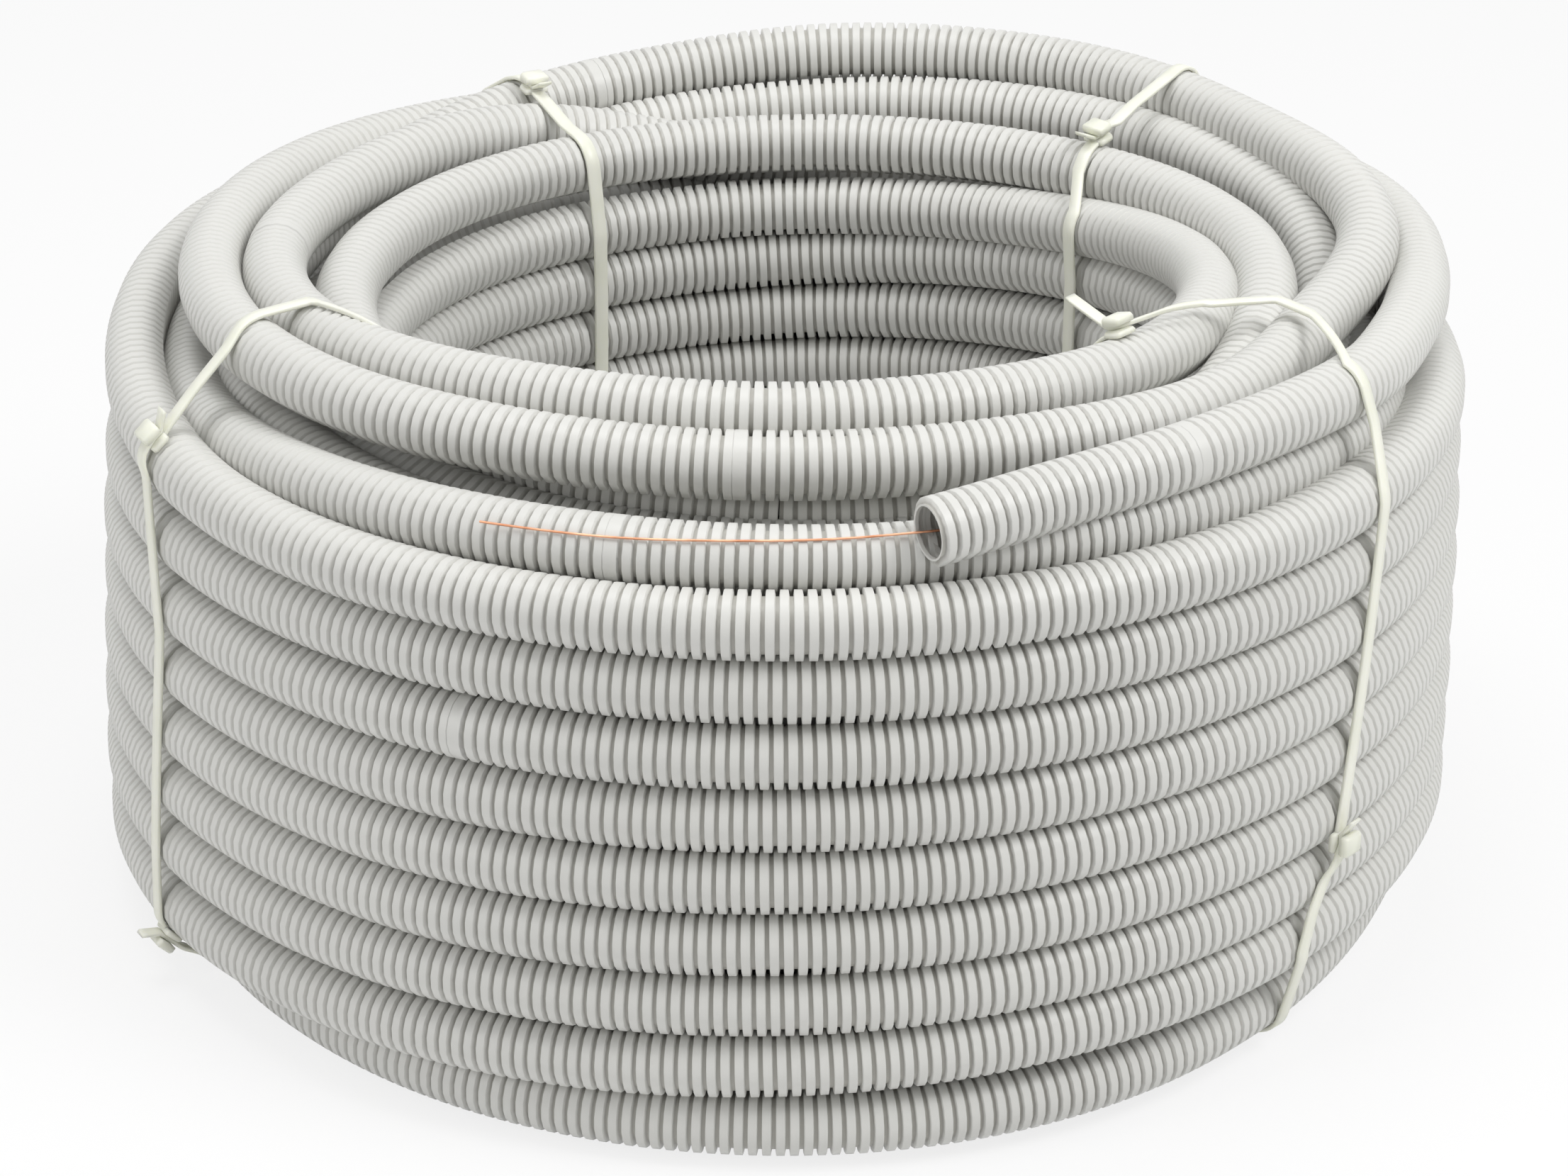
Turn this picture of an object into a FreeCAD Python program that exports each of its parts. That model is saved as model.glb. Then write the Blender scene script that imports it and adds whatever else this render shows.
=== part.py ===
import FreeCAD, Part
import math
import os
import Sketcher
from FreeCAD import Placement, Rotation, Vector

# A tied coil of corrugated conduit. Z is the coil's axis and z = 0 is the floor.
# The free end lies on top at the front, which is -Y. Lengths in millimetres.

SIZES = {
    "tube_od": 20.0,
    "tube_bore": 15.0,
    "turn_squeeze": 0.3,
    "outer_turn_radius": 206.2,
    "inner_turn_rise": 13.3,
    "crossing_radius": 171.0,
    "crossing_shift": 19.0,
    "crossing_rise": 11.3,
    "crossing_tilt": 2.0,
    "tail_radius": 188.0,
    "tail_height": 187.0,
    "tail_tilt": 4.1,
    "tail_tilt_azimuth": -19.0,
    "tail_dive_radius": 140.0,
    "tail_dive_azimuth": 55.0,
    "tail_dive_turn": 60.0,
    "tail_leave_azimuth": -58.0,
    "tail_straight": 69.0,
    "tail_bore_depth": 65.0,
    "strap_width": 4.8,
    "strap_thickness": 1.3,
    "strap_gap": 0.3,
    "head_width": 8.0,
    "head_length": 5.6,
    "head_height": 6.2,
    "slot_floor": 2.0,
    "slot_clearance": 0.15,
    "ramp_length": 9.0,
    "stub_length": 4.0,
    "long_stub_length": 17.0,
    "wire_diameter": 0.7,
}
ROW_TURNS = (9, 9, 10, 10, 10)

# Each strap loop: its azimuth, then for its two ties the name, the side of the section
# that the head sits on, how far along that side it sits in the sense outside up, top
# inwards, and whether the strap that goes through that head keeps a long end.
LOOPS = {
    "front_left": (-147.5, ("upper", "outside", 0.94, False), ("lower", "outside", 0.08, False)),
    "front_right": (-37.0, ("inner", "top", 0.85, True), ("outer", "outside", 0.36, False)),
    "back_left": (121.0, ("upper", "top", 0.2, False), ("lower", "outside", 0.5, False)),
    "back_right": (41.0, ("upper", "top", 0.55, False), ("lower", "outside", 0.5, False)),
}

# The draw wire's route: from inside the bore, out of the cut end, then along the shoulder
# of the turn below.
WIRE_ROUTE = [
    (60.0, -187.0, 193.4), (37.2, -190.9, 192.0), (12.6, -192.4, 189.3), (-19.0, -193.4, 188.6),
    (-53.8, -188.6, 187.6), (-83.0, -177.9, 187.0),
]

doc = FreeCAD.newDocument("conduit_coil")
sheet = doc.addObject("Spreadsheet::Sheet", "sizes")
for row_number, (alias, value) in enumerate(SIZES.items(), start=1):
    sheet.set("A%d" % row_number, alias)
    sheet.set("B%d" % row_number, str(value))
    sheet.setAlias("B%d" % row_number, alias)
doc.recompute()


def size(alias):
    """The number in a cell of the sheet."""
    return float(getattr(sheet, alias))


# The turns are stacked as close packed rods, pressed into each other by turn_squeeze. Each
# is drawn with a few flats, and LOBE is the circle through their corners.
SPACING = "(sizes.tube_od - sizes.turn_squeeze)"
LOBE = "(sizes.tube_od / 2 / cos(14))"
FIRST_LEVEL = "(sizes.strap_thickness + sizes.strap_gap + " + LOBE + ")"
spacing = size("tube_od") - size("turn_squeeze")
row_step = spacing * math.sqrt(3) / 2
lobe_r = size("tube_od") / 2 / math.cos(math.radians(14))
first_level = size("strap_thickness") + size("strap_gap") + lobe_r
inner_row = len(ROW_TURNS) - 1


def level(row, turn):
    """Height of a turn in spacings: the odd rows nest half a spacing higher."""
    return turn + (0.5 if row % 2 else 0.0)


def radius_expression(row):
    return "sizes.outer_turn_radius - %d * %s * sqrt(3) / 2" % (row, SPACING)


def height_expression(row, turn):
    return "%s + %g * %s" % (FIRST_LEVEL, level(row, turn), SPACING)


def turn_place(row, turn):
    return Vector(size("outer_turn_radius") - row * row_step,
                  first_level + level(row, turn) * spacing, 0)


def rim_turns():
    """The turns that show, in order round the section from the outer foot upwards: each
    one's place, the expressions of its radius and height, and how many flats it shows."""
    up = [(0, turn, 3) for turn in range(ROW_TURNS[0])]
    up += [(row, ROW_TURNS[row] - 1, 3) for row in range(1, inner_row)]
    down = [(inner_row, turn, 3) for turn in reversed(range(ROW_TURNS[inner_row]))]
    down += [(row, 0, 1 + (row + 1) % 2) for row in range(inner_row - 1, 0, -1)]

    def entry(row, turn, flats):
        return [turn_place(row, turn), radius_expression(row), height_expression(row, turn), flats]

    raised = entry(*down[0][:2], 4)
    raised[0] += Vector(0, size("inner_turn_rise"), 0)
    raised[2] += " + sizes.inner_turn_rise"
    return [entry(*at) for at in up] + [raised] + [entry(*at) for at in down]


def crossing_point(a, b, radius):
    """Outer crossing point of two equal circles, anticlockwise from a to b."""
    along = b - a
    outward = Vector(along.y, -along.x, 0).normalize()
    return (a + b) / 2 + outward * math.sqrt(radius ** 2 - (along.Length / 2) ** 2)


def azimuth(vector):
    return math.atan2(vector.y, vector.x)


def origin_plane(body, role):
    return [f for f in body.Origin.OriginFeatures if f.Role == role][0]


def attached(body, kind, name, support, mode):
    """A new sketch or primitive of the body, attached to its own plane or path."""
    item = body.newObject(kind, name)
    item.AttachmentSupport = [support]
    item.MapMode = mode
    return item


def bind(sketch, kind, *place, expression):
    """Adds a dimension to a sketch and ties it to the sheet."""
    index = sketch.addConstraint(Sketcher.Constraint(kind, *place))
    sketch.setExpression("Constraints[%d]" % index, expression)


def add_flats(sketch, curve, corners):
    """Equal straight flats between corners that lie on a construction arc or circle."""
    flats = [sketch.addGeometry(Part.LineSegment(a, b)) for a, b in zip(corners, corners[1:])]
    for first, second in zip(flats, flats[1:]):
        sketch.addConstraint(Sketcher.Constraint("Coincident", first, 2, second, 1))
        sketch.addConstraint(Sketcher.Constraint("PointOnObject", second, 1, curve))
        sketch.addConstraint(Sketcher.Constraint("Equal", first, second))
    return flats


def coil_section(body):
    """The wound section as one outline, with a few flats for each turn that shows."""
    support = (origin_plane(body, "XZ_Plane"), "")
    sketch = attached(body, "Sketcher::SketchObject", "coil_section", support, "FlatFace")
    rim = rim_turns()
    count = len(rim)
    joints = [crossing_point(rim[i][0], rim[(i + 1) % count][0], lobe_r) for i in range(count)]
    for i, (centre, _, _, _) in enumerate(rim):
        circle = Part.Circle(centre, Vector(0, 0, 1), lobe_r)
        ends = azimuth(joints[i - 1] - centre), azimuth(joints[i] - centre)
        sketch.addGeometry(Part.ArcOfCircle(circle, *ends))
    for i, (centre, radius, height, _) in enumerate(rim):
        bind(sketch, "Radius", i, lobe_r, expression=LOBE)
        bind(sketch, "DistanceX", -1, 1, i, 3, centre.x, expression=radius)
        bind(sketch, "DistanceY", -1, 1, i, 3, centre.y, expression=height)
    for i in range(count):
        sketch.addConstraint(Sketcher.Constraint("Coincident", i, 2, (i + 1) % count, 1))
    for i, (centre, _, _, flats) in enumerate(rim):
        arc = sketch.Geometry[i]
        sketch.toggleConstruction(i)
        step = (arc.LastParameter - arc.FirstParameter) / flats
        corners = [arc.value(arc.FirstParameter + step * k) for k in range(flats + 1)]
        chain = add_flats(sketch, i, corners)
        sketch.addConstraint(Sketcher.Constraint("Coincident", chain[0], 1, i, 1))
        sketch.addConstraint(Sketcher.Constraint("Coincident", chain[-1], 2, i, 2))
    return sketch


def octagon(sketch, centre):
    """One turn's own outline, with its corners on a construction circle."""
    circle = sketch.addGeometry(Part.Circle(centre, Vector(0, 0, 1), lobe_r), True)
    angles = [math.pi * (2 * k + 1) / 8 for k in range(9)]
    corners = [centre + Vector(math.cos(a), math.sin(a), 0) * lobe_r for a in angles]
    flats = add_flats(sketch, circle, corners)
    sketch.addConstraint(Sketcher.Constraint("Coincident", flats[-1], 2, flats[0], 1))
    sketch.addConstraint(Sketcher.Constraint("PointOnObject", flats[0], 1, circle))
    sketch.addConstraint(Sketcher.Constraint("Horizontal", flats[1]))
    bind(sketch, "Radius", circle, lobe_r, expression=LOBE)
    return circle


def make_crossing_turn(body):
    """The turn that crosses the top: wide at the back, close to the bore at the front."""
    support = (origin_plane(body, "XZ_Plane"), "")
    sketch = attached(body, "Sketcher::SketchObject", "crossing_section", support, "FlatFace")
    sketch.AttachmentOffset = Placement(Vector(0, 0, 0), Rotation(Vector(1, 0, 0), 1))
    sketch.setExpression(".AttachmentOffset.Base.z", "-sizes.crossing_shift")
    sketch.setExpression(".AttachmentOffset.Base.y", "%s + sizes.crossing_rise"
                         % height_expression(2, ROW_TURNS[2] - 1))
    sketch.setExpression(".AttachmentOffset.Rotation.Angle", "sizes.crossing_tilt")
    circle = octagon(sketch, Vector(size("crossing_radius"), 0, 0))
    bind(sketch, "DistanceX", -1, 1, circle, 3, size("crossing_radius"),
         expression="sizes.crossing_radius")
    sketch.addConstraint(Sketcher.Constraint("PointOnObject", circle, 3, -1))
    ring = body.newObject("PartDesign::Revolution", "crossing_turn")
    ring.Profile = sketch
    ring.ReferenceAxis = (sketch, ["V_Axis"])
    ring.Angle = 360


def tail_path(body):
    """The last turn's centre line, in a tilted plane: straight in from the cut end, back
    round the coil, then tighter and down among the turns below."""
    support = (origin_plane(body, "XY_Plane"), "")
    sketch = attached(body, "Sketcher::SketchObject", "tail_path", support, "FlatFace")
    rise = math.radians(size("tail_tilt_azimuth"))
    axis = Vector(math.sin(rise), -math.cos(rise), 0)
    sketch.AttachmentOffset = Placement(Vector(0, 0, 0), Rotation(axis, size("tail_tilt")))
    sketch.setExpression(".AttachmentOffset.Base.z", "sizes.tail_height")
    sketch.setExpression(".AttachmentOffset.Rotation.Angle", "sizes.tail_tilt")
    radius, sharp = size("tail_radius"), size("tail_dive_radius")
    leave = math.radians(size("tail_leave_azimuth"))
    dive = math.radians(size("tail_dive_azimuth"))
    start = dive + math.radians(size("tail_dive_turn"))
    corner = Vector(math.cos(leave), math.sin(leave), 0) * radius
    mouth = corner + Vector(math.sin(leave), -math.cos(leave), 0) * size("tail_straight")
    pivot = Vector(math.cos(dive), math.sin(dive), 0) * (radius - sharp)
    sketch.addGeometry(Part.LineSegment(mouth, corner))
    wide = Part.Circle(Vector(0, 0, 0), Vector(0, 0, 1), radius)
    sketch.addGeometry(Part.ArcOfCircle(wide, leave, dive))
    tight = Part.Circle(pivot, Vector(0, 0, 1), sharp)
    sketch.addGeometry(Part.ArcOfCircle(tight, dive, start))
    sketch.addConstraint(Sketcher.Constraint("Coincident", 1, 3, -1, 1))
    sketch.addConstraint(Sketcher.Constraint("Tangent", 0, 2, 1, 1))
    sketch.addConstraint(Sketcher.Constraint("Tangent", 1, 2, 2, 1))
    bind(sketch, "Radius", 1, radius, expression="sizes.tail_radius")
    bind(sketch, "Radius", 2, sharp, expression="sizes.tail_dive_radius")
    bind(sketch, "Distance", 0, size("tail_straight"), expression="sizes.tail_straight")
    bind(sketch, "DistanceX", -1, 1, 1, 1, corner.x,
         expression="sizes.tail_radius * cos(sizes.tail_leave_azimuth)")
    bind(sketch, "DistanceX", -1, 1, 2, 3, pivot.x,
         expression="(sizes.tail_radius - sizes.tail_dive_radius) * cos(sizes.tail_dive_azimuth)")
    bind(sketch, "DistanceX", 2, 3, 2, 2, sharp * math.cos(start),
         expression="sizes.tail_dive_radius * cos(sizes.tail_dive_azimuth + sizes.tail_dive_turn)")
    return sketch


def mouth_sketch(body, path, name):
    """A sketch on the plane of the cut end, about the tail's centre line."""
    sketch = attached(body, "Sketcher::SketchObject", name, (path, "Edge1"), "NormalToEdge")
    sketch.MapPathParameter = 0.0
    return sketch


def make_conduit():
    body = doc.addObject("PartDesign::Body", "conduit")
    body.Label = "conduit"
    section = coil_section(body)
    coil = body.newObject("PartDesign::Revolution", "wound_turns")
    coil.Profile = section
    coil.ReferenceAxis = (section, ["V_Axis"])
    coil.Angle = 360
    make_crossing_turn(body)
    path = tail_path(body)
    doc.recompute()
    wall = mouth_sketch(body, path, "tail_wall")
    rim = octagon(wall, Vector(0, 0, 0))
    wall.addConstraint(Sketcher.Constraint("Coincident", rim, 3, -1, 1))
    tail = body.newObject("PartDesign::AdditivePipe", "tail")
    tail.Profile = wall
    tail.Spine = (path, ["Edge1", "Edge2", "Edge3"])
    doc.recompute()
    before = tail.Shape.Volume
    hole = mouth_sketch(body, path, "tail_hole")
    hole.addGeometry(Part.Circle(Vector(0, 0, 0), Vector(0, 0, 1), size("tube_bore") / 2))
    hole.addConstraint(Sketcher.Constraint("Coincident", 0, 3, -1, 1))
    bind(hole, "Diameter", 0, size("tube_bore"), expression="sizes.tube_bore")
    bore = body.newObject("PartDesign::Pocket", "tail_bore")
    bore.Profile = hole
    bore.setExpression("Length", "sizes.tail_bore_depth")
    bore.Reversed = False
    doc.recompute()
    cut = before - bore.Shape.Volume
    expected = math.pi * size("tube_bore") ** 2 / 4 * size("tail_bore_depth")
    if abs(cut - expected) > expected * 0.04:
        raise RuntimeError("the bore cut %.0f of %.0f mm3" % (cut, expected))
    return body


def crossing_centre(angle):
    """Where the crossing turn's centre line meets the half plane at an azimuth."""
    shift = size("crossing_shift")
    radius = shift * math.sin(angle) + math.sqrt(
        size("crossing_radius") ** 2 - (shift * math.cos(angle)) ** 2)
    base = turn_place(2, ROW_TURNS[2] - 1).y + size("crossing_rise")
    tilt = math.tan(math.radians(size("crossing_tilt")))
    return Vector(radius, base + (radius * math.sin(angle) - shift) * tilt, 0)


def tail_centre(angle):
    """Where the tail's centre line meets the half plane at an azimuth."""
    rise = math.radians(size("tail_tilt_azimuth"))
    slope = math.tan(math.radians(size("tail_tilt")))
    radius = size("tail_radius")
    return Vector(radius, size("tail_height") + slope * radius * math.cos(angle - rise), 0)


def hull(points):
    """Convex hull, anticlockwise, from the lowest outer point."""
    points = sorted(points, key=lambda p: (p.x, p.y))

    def half(ordered):
        chain = []
        for point in ordered:
            while len(chain) > 1:
                a, b = chain[-1] - chain[-2], point - chain[-1]
                if a.x * b.y - a.y * b.x > 1e-6:
                    break
                chain.pop()
            chain.append(point)
        return chain[:-1]

    ring = half(points) + half(points[::-1])
    start = max(range(len(ring)), key=lambda i: ring[i].x - ring[i].y)
    return ring[start:] + ring[:start]


class Belt:
    """The line that a strap follows round the turns' hull, in the half plane (R, Z)."""

    def __init__(self, corners):
        self.corners = corners
        self.count = len(corners)
        self.inside = lobe_r + size("strap_gap")

    def along(self, side):
        a, b = self.corners[side % self.count], self.corners[(side + 1) % self.count]
        return (b - a).normalize()

    def outward(self, side):
        d = self.along(side)
        return Vector(d.y, -d.x, 0)

    def place(self, spot, offset):
        """The point of a spot (side, share of its length), offset from the turns."""
        side, share = spot
        a, b = self.corners[side], self.corners[(side + 1) % self.count]
        return a + (b - a) * share + self.outward(side) * (self.inside + offset)

    def edges(self, first, last, offset):
        """Lines and arcs from one spot to another, anticlockwise."""
        side = first[0]
        point = self.place(first, offset)
        made = []
        while True:
            turned = bool(made) or last[0] != side or last[1] <= first[1]
            if side == last[0] and (made or not turned):
                stop = self.place(last, offset)
                if not stop.isEqual(point, 1e-6):
                    made.append(Part.LineSegment(point, stop).toShape())
                return made
            end = self.place((side, 1.0), offset)
            made.append(Part.LineSegment(point, end).toShape())
            corner = self.corners[(side + 1) % self.count]
            side = (side + 1) % self.count
            begin = self.place((side, 0.0), offset)
            middle = ((end - corner) + (begin - corner)).normalize() * (self.inside + offset)
            made.append(Part.Arc(end, corner + middle, begin).toShape())
            point = begin


def slab(points, width):
    """A closed outline of the half plane, extruded to both sides of it."""
    face = Part.Face(Part.makePolygon(points + points[:1]))
    return widened(face, width)


def widened(face, width):
    face.translate(Vector(0, 0, -width / 2))
    return face.extrude(Vector(0, 0, width))


def strap_band(belt, first, last):
    """The flat strap that lies on the turns between two spots."""
    thick = size("strap_thickness")
    inner = belt.edges(first, last, 0.0)
    outer = belt.edges(first, last, thick)
    caps = [Part.LineSegment(belt.place(first, 0.0), belt.place(first, thick)).toShape(),
            Part.LineSegment(belt.place(last, 0.0), belt.place(last, thick)).toShape()]
    face = Part.Face(Part.Wire(Part.__sortEdges__(inner + outer + caps)))
    return widened(face, size("strap_width"))


def moved_along(belt, spot, distance):
    """The spot a distance further on the same side."""
    side, share = spot
    length = (belt.corners[(side + 1) % belt.count] - belt.corners[side]).Length
    return side, share + distance / length


def tie_head(belt, spot):
    """The locking head on a spot, with its slot cut right through."""
    half = size("head_length") / 2
    high = size("head_height")
    start, end = moved_along(belt, spot, -half), moved_along(belt, spot, half)
    block = slab([belt.place(start, 0), belt.place(end, 0), belt.place(end, high),
                  belt.place(start, high)], size("head_width"))
    spare = size("slot_clearance")
    low = size("slot_floor") - spare
    top = size("slot_floor") + size("strap_thickness") + spare
    far_start, far_end = moved_along(belt, spot, -2 * half), moved_along(belt, spot, 2 * half)
    slot = slab([belt.place(far_start, low), belt.place(far_end, low), belt.place(far_end, top),
                 belt.place(far_start, top)], size("strap_width") + 2 * spare)
    corner_edges = [e for e in block.Edges if abs(e.tangentAt(0).z) > 0.9]
    return block.makeFillet(size("strap_thickness") / 2, corner_edges).cut(slot)


def tail_through(belt, spot, stub):
    """The strap's end: up the ramp before the other tie's head, through it and out."""
    half = size("head_length") / 2
    thick = size("strap_thickness")
    low = size("slot_floor")
    foot = moved_along(belt, spot, -half - size("ramp_length"))
    head = moved_along(belt, spot, -half - size("strap_thickness"))
    tip = moved_along(belt, spot, half + stub)
    points = [belt.place(foot, 0), belt.place(head, low), belt.place(tip, low),
              belt.place(tip, low + thick), belt.place(head, low + thick),
              belt.place(foot, thick)]
    return slab(points, size("strap_width"))


def make_tie(belt, head_spot, far_spot, stub):
    """One tie: its head, the strap round the coil and its end in the other tie's head."""
    half = size("head_length") / 2
    first = moved_along(belt, head_spot, half - size("strap_thickness"))
    last = moved_along(belt, far_spot, -half - size("ramp_length"))
    shape = strap_band(belt, first, last)
    shape = shape.fuse([tie_head(belt, head_spot), tail_through(belt, far_spot, stub)])
    return shape.removeSplitter()


def loop_belt(angle):
    points = [entry[0] for entry in rim_turns()]
    return Belt(hull(points + [crossing_centre(angle), tail_centre(angle)]))


def top_spot(belt, share):
    """The spot at a share of the way across the top, from the outer turn to the bore."""
    outer, inner = belt.corners[1].x, min(c.x for c in belt.corners)
    target = outer + (inner - outer) * share
    side = next(i for i in range(1, belt.count) if belt.corners[(i + 1) % belt.count].x <= target)
    a, b = belt.corners[side], belt.corners[(side + 1) % belt.count]
    return side, (target - a.x) / (b.x - a.x)


def clear_of_corners(belt, spot):
    """The spot, moved on where the ramp before its head would start round the corner."""
    side, share = spot
    length = (belt.corners[(side + 1) % belt.count] - belt.corners[side]).Length
    before = size("head_length") / 2 + size("ramp_length")
    after = size("head_length") / 2 + size("stub_length")
    return side, max(before / length, min(share, max(share / 2, 1 - after / length)))


def make_ties():
    ties = []
    for loop, (degrees, *heads) in LOOPS.items():
        angle = math.radians(degrees)
        belt = loop_belt(angle)
        spots = [(0, share) if side == "outside" else top_spot(belt, share)
                 for _, side, share, _ in heads]
        spots = [clear_of_corners(belt, spot) for spot in spots]
        stand = Rotation(Vector(math.cos(angle), math.sin(angle), 0), Vector(0, 0, 1),
                         Vector(math.sin(angle), -math.cos(angle), 0), "XYZ")
        for i, (name, _, _, _) in enumerate(heads):
            stub = size("long_stub_length" if heads[1 - i][3] else "stub_length")
            tie = doc.addObject("Part::Feature", "tie_%s_%s" % (loop, name))
            tie.Label = tie.Name
            tie.Shape = make_tie(belt, spots[i], spots[1 - i], stub)
            tie.Placement = Placement(Vector(0, 0, 0), stand)
            ties.append(tie)
    return ties


def make_draw_wire():
    """A thin wire of eight flats along straight runs joined by tangent arcs."""
    points = [Vector(*p) for p in WIRE_ROUTE]
    radius = size("wire_diameter") / 2
    edges, radii, length = [], [], 0.0
    last = points[0]
    for before, here, after in zip(points, points[1:], points[2:]):
        back, ahead = before - here, after - here
        turn = math.pi - back.getAngle(ahead)
        reach = 0.45 * min(back.Length, ahead.Length)
        radii.append(reach / math.tan(turn / 2))
        start = here + back.normalize() * reach
        end = here + ahead.normalize() * reach
        inward = (back + ahead).normalize()
        centre = here + inward * (reach / math.sin(turn / 2))
        middle = centre - inward * radii[-1]
        edges += [Part.LineSegment(last, start).toShape(), Part.Arc(start, middle, end).toShape()]
        last = end
    edges.append(Part.LineSegment(last, points[-1]).toShape())
    path = Part.Wire(edges)
    ahead = (points[1] - points[0]).normalize()
    side = ahead.cross(Vector(0, 0, 1)).normalize() * radius
    corners = [points[0] + Rotation(ahead, 45 * k).multVec(side) for k in range(8)]
    section = Part.makePolygon(corners + corners[:1])
    tube = path.makePipeShell([section], True, True)
    expected = Part.Face(section).Area * path.Length
    print("draw wire %.1f mm long, radii %s, volume %.4f of %.4f" % (
        path.Length, [round(r) for r in radii], tube.Volume, expected))
    if abs(tube.Volume - expected) > 0.01 * expected:
        raise RuntimeError("the draw wire's tube is wrong")
    wire = doc.addObject("Part::Feature", "draw_wire")
    wire.Label = "draw_wire"
    wire.Shape = tube
    return wire


def check(items):
    for item in items:
        if "Invalid" in item.State or "Error" in item.State:
            raise RuntimeError("%s did not compute: %s" % (item.Label, item.State))


pieces = [make_conduit(), make_draw_wire()] + make_ties()
doc.recompute()
check(doc.Objects)
for piece in pieces:
    shape = piece.Shape
    if shape.isNull() or not shape.isValid() or len(shape.Solids) != 1:
        raise RuntimeError("%s is not one valid solid" % piece.Label)

os.makedirs("parts", exist_ok=True)
for piece in pieces:
    piece.Shape.exportStep("parts/%s.step" % piece.Label)
    print(piece.Label, "%.0f mm3" % piece.Shape.Volume)
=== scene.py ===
"""A coil of corrugated plastic conduit, held by cable ties in pairs, with its copper draw wire.

Every turn is a ribbed tube that follows a list of knots. A knot is an azimuth in degrees, a
radius and a height, both in tube diameters. Azimuth 0 is +X, -90 is the front and 90 the back.
"""
import math

import bpy
import numpy as np
from mathutils import Matrix


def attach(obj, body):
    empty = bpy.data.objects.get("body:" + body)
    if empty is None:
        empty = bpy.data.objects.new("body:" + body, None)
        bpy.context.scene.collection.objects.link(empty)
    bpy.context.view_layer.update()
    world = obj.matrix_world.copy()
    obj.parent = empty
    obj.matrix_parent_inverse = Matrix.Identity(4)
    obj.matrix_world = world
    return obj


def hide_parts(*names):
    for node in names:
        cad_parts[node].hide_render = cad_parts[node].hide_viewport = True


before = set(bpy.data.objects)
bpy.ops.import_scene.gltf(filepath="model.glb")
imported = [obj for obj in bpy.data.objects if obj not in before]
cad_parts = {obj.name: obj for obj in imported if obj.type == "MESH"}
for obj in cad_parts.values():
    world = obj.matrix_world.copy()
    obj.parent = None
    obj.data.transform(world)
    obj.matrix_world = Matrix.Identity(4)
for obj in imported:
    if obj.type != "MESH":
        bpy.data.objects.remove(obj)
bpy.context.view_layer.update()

# Lengths are in metres, except where a comment says tube diameters.
TUBE = 0.020
TUBE_RADIUS = TUBE / 2
RIB_PITCH = 0.00388
GROOVE_DEPTH = 0.0019
WALL = 0.0006
# How far the ribbed bore goes in behind the cut end.
BORE_SEEN = 0.060
# The height of a turn's centre line on the floor, in tube diameters.
FLOOR_LEVEL = 0.58

STRAP_WIDTH = 0.0048
STRAP_THICKNESS = 0.0013
STRAP_EDGE = 0.0003
STRAP_GAP = 0.0003
HEAD_WIDTH = 0.0086
HEAD_LENGTH = 0.0062
HEAD_HEIGHT = 0.0062
HEAD_EDGE = 0.0008
SLOT_FLOOR = 0.0020
SLOT_CLEARANCE = 0.0003
RAMP_LENGTH = 0.009
STUB_LENGTH = 0.006
LONG_STUB_LENGTH = 0.016
STUB_LIFT = math.radians(35)
WIRE_DIAMETER = 0.0007

# One rib with the groove before it, in rings: share of the pitch, share of the groove's depth
# at that ring, and the lean of the surface there along the run, in degrees.
RIB_RINGS = ((0.05, 1.0, 0), (0.30, 1.0, 0), (0.345, 0.12, -50), (0.375, 0.0, 0), (0.94, 0.0, 0),
             (0.97, 0.12, 50))
GROOVE_MIDDLE = 0.17

# The outer wall from the second turn up: radius, shift towards +X, height at the front, and
# the rise from the front to the right, all in tube diameters.
WALL_TURNS = (
    (10.30, 0.00, 1.64, 0.48), (10.30, -0.02, 2.64, 0.38), (10.29, -0.01, 3.61, 0.35),
    (10.26, -0.01, 4.58, 0.33), (10.23, 0.01, 5.54, 0.28), (10.20, 0.01, 6.51, 0.25),
    (10.14, 0.02, 7.49, 0.19),
)
WALL_KNOT_AZIMUTHS = (-180, -150, -120, -90, -60, -30, 0)
WALL_BACK_RADIUS = 10.15
# The turns on the floor, from inside outwards, and the first turn of the wall.
WALL_START = (
    (-860, 8.47, FLOOR_LEVEL), (-680, 8.45, FLOOR_LEVEL), (-540, 8.45, FLOOR_LEVEL),
    (-500, 8.60, FLOOR_LEVEL), (-440, 9.15, FLOOR_LEVEL),
    (-360, 9.38, FLOOR_LEVEL), (-270, 9.42, FLOOR_LEVEL), (-200, 9.42, FLOOR_LEVEL),
    (-150, 9.60, FLOOR_LEVEL), (-120, 10.0, FLOOR_LEVEL), (-90, 10.2, 0.60), (-60, 10.1, 0.72),
    (-30, 9.80, 0.92), (0, 9.80, 1.02), (90, 10.15, 1.10),
)
# The top turn of the wall, the low turn inside it, and where that goes under the raised ones.
WALL_END = (
    (-206, 10.11, 9.06), (-194, 10.10, 9.02), (-180, 10.06, 8.87), (-165, 10.08, 8.62),
    (-150, 10.12, 8.42), (-120, 10.12, 8.36), (-90, 10.12, 8.44),
    (-60, 10.12, 8.53), (-30, 10.13, 8.60), (0, 10.14, 8.63), (45, 9.70, 8.68),
    (90, 9.10, 8.72), (135, 9.14, 8.64), (160, 9.24, 8.62), (173, 9.25, 8.52),
    (182, 9.23, 8.42), (210, 9.20, 8.62),
    (225, 9.26, 8.84), (245, 9.34, 9.04),
    (270, 9.37, 9.09), (300, 9.36, 9.10), (323, 9.37, 9.06), (345, 9.30, 8.90),
    (365, 9.05, 8.65), (385, 8.85, 8.35),
)
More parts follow.
